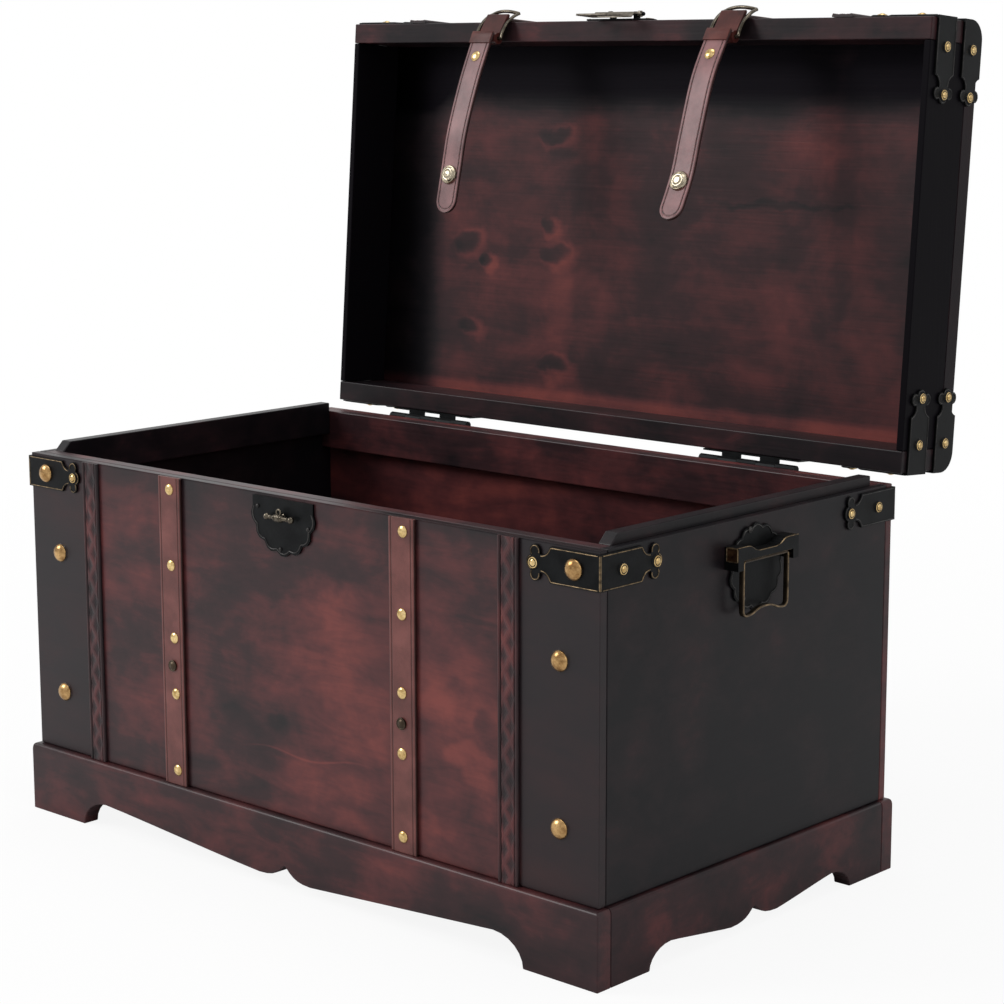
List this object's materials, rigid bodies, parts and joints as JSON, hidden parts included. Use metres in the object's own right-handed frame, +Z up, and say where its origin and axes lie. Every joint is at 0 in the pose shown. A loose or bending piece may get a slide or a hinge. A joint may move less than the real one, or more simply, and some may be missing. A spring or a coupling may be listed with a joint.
{
  "type": "wooden chest",
  "caption": "Boarded wooden storage chest on a scroll-cut plinth, with a hinged lid, leather straps with buckles, hasp and turn knob, clover-ended corner fittings and bail handles.",
  "frame": {"origin": "bottom centre of the bounding box of the chest with its lid open, on the floor", "axes": "+X to the right along the front, +Y to the back, +Z up; the front faces -Y"},
  "size_m": [0.676, 0.4864, 0.7047],
  "materials": {
    "stained_wood": "red mahogany stain, blotched nearly black, satin lacquer",
    "dark_wood": "nearly black stain, satin lacquer",
    "inner_wood": "reddish brown knotty wood, matt",
    "leather": "reddish brown, stitched along the edges",
    "blackened_metal": "blackened, brass showing at worn edges"
  },
  "bodies": {
    "box": {"plinth_front": "stained_wood", "plinth_back": "stained_wood", "plinth_left": "stained_wood", "plinth_right": "stained_wood", "base_front": "stained_wood", "base_back": "stained_wood", "base_left_side": "dark_wood", "base_right_side": "dark_wood", "base_bottom": "inner_wood", "front_top_rail": "stained_wood", "back_top_rail": "stained_wood", "left_lid_guide": "inner_wood", "right_lid_guide": "inner_wood", "front_left_batten": "stained_wood", "front_right_batten": "stained_wood", "front_left_strap": "leather", "front_right_strap": "leather", "base_front_right_fitting": "blackened_metal", "base_back_right_fitting": "blackened_metal", "base_back_left_fitting": "blackened_metal", "base_front_left_fitting": "blackened_metal", "latch_plate": "blackened_metal", "left_hinge_base_leaf": "blackened_metal", "right_hinge_base_leaf": "blackened_metal", "left_handle_plate": "blackened_metal", "right_handle_plate": "blackened_metal"},
    "lid": {"lid_top": "stained_wood", "lid_front": "stained_wood", "lid_back": "stained_wood", "lid_left_side": "dark_wood", "lid_right_side": "dark_wood", "lid_left_strap": "leather", "lid_right_strap": "leather", "lid_left_batten": "stained_wood", "lid_right_batten": "stained_wood", "left_hinge_lid_leaf": "blackened_metal", "right_hinge_lid_leaf": "blackened_metal", "hasp_plate": "blackened_metal", "hasp_pin": "blackened_metal", "lid_front_right_rim_fitting": "blackened_metal", "lid_back_right_rim_fitting": "blackened_metal", "lid_back_left_rim_fitting": "blackened_metal", "lid_front_left_rim_fitting": "blackened_metal", "lid_front_right_top_fitting": "blackened_metal", "lid_back_right_top_fitting": "blackened_metal", "lid_back_left_top_fitting": "blackened_metal", "lid_front_left_top_fitting": "blackened_metal"},
    "hasp": {"hasp_leaf": "blackened_metal"},
    "knob": {"turn_knob": "blackened_metal"},
    "left_bail": {"left_handle_bail": "blackened_metal"},
    "right_bail": {"right_handle_bail": "blackened_metal"},
    "left_strap_loop": {"left_keeper": "leather"},
    "left_frame": {"left_buckle": "blackened_metal"},
    "left_strap_end": {"left_tongue": "leather"},
    "right_strap_loop": {"right_keeper": "leather"},
    "right_frame": {"right_buckle": "blackened_metal"},
    "right_strap_end": {"right_tongue": "leather"}
  },
  "joints": [
    {"name": "lid_hinge", "type": "hinge", "parent": "box", "child": "lid", "pos_m": [0, 0.13688, 0.321], "axis": [1, 0, 0], "range_deg": [0, 94.5]},
    {"name": "hasp_hinge", "type": "hinge", "parent": "lid", "child": "hasp", "pos_m": [0, 0.18298, 0.69769], "axis": [-1, 0, 0], "range_deg": [0, 120]},
    {"name": "knob_turn", "type": "hinge", "parent": "box", "child": "knob", "pos_m": [0, -0.24062, 0.306], "axis": [0, 1, 0], "range_deg": [0, 90]},
    {"name": "left_bail_swing", "type": "hinge", "parent": "box", "child": "left_bail", "pos_m": [-0.334, -0.05462, 0.29], "axis": [0, 1, 0], "range_deg": [0, 90]},
    {"name": "right_bail_swing", "type": "hinge", "parent": "box", "child": "right_bail", "pos_m": [0.334, -0.05462, 0.29], "axis": [0, -1, 0], "range_deg": [0, 90]},
    {"name": "left_loop_fold", "type": "hinge", "parent": "lid", "child": "left_strap_loop", "pos_m": [-0.1375, 0.16792, 0.69763], "axis": [-1, 0, 0], "range_deg": [0, 86]},
    {"name": "left_frame_tilt", "type": "hinge", "parent": "left_strap_loop", "child": "left_frame", "pos_m": [-0.1375, 0.15396, 0.67738], "axis": [1, 0, 0], "range_deg": [0, 30.3]},
    {"name": "left_tongue_lift", "type": "hinge", "parent": "left_strap_loop", "child": "left_strap_end", "pos_m": [-0.1375, 0.15396, 0.67738], "axis": [-1, 0, 0], "range_deg": [-13.5, 55]},
    {"name": "right_loop_fold", "type": "hinge", "parent": "lid", "child": "right_strap_loop", "pos_m": [0.1305, 0.16792, 0.69763], "axis": [-1, 0, 0], "range_deg": [0, 86]},
    {"name": "right_frame_tilt", "type": "hinge", "parent": "right_strap_loop", "child": "right_frame", "pos_m": [0.1305, 0.15396, 0.67738], "axis": [1, 0, 0], "range_deg": [0, 30.3]},
    {"name": "right_tongue_lift", "type": "hinge", "parent": "right_strap_loop", "child": "right_strap_end", "pos_m": [0.1305, 0.15396, 0.67738], "axis": [-1, 0, 0], "range_deg": [-18.5, 55]}
  ],
  "couplings": [
    {"joint": "left_loop_fold", "follows": "lid_hinge", "ratio": 0.91},
    {"joint": "left_frame_tilt", "follows": "lid_hinge", "ratio": 0.32},
    {"joint": "right_loop_fold", "follows": "lid_hinge", "ratio": 0.91},
    {"joint": "right_frame_tilt", "follows": "lid_hinge", "ratio": 0.32}
  ]
}
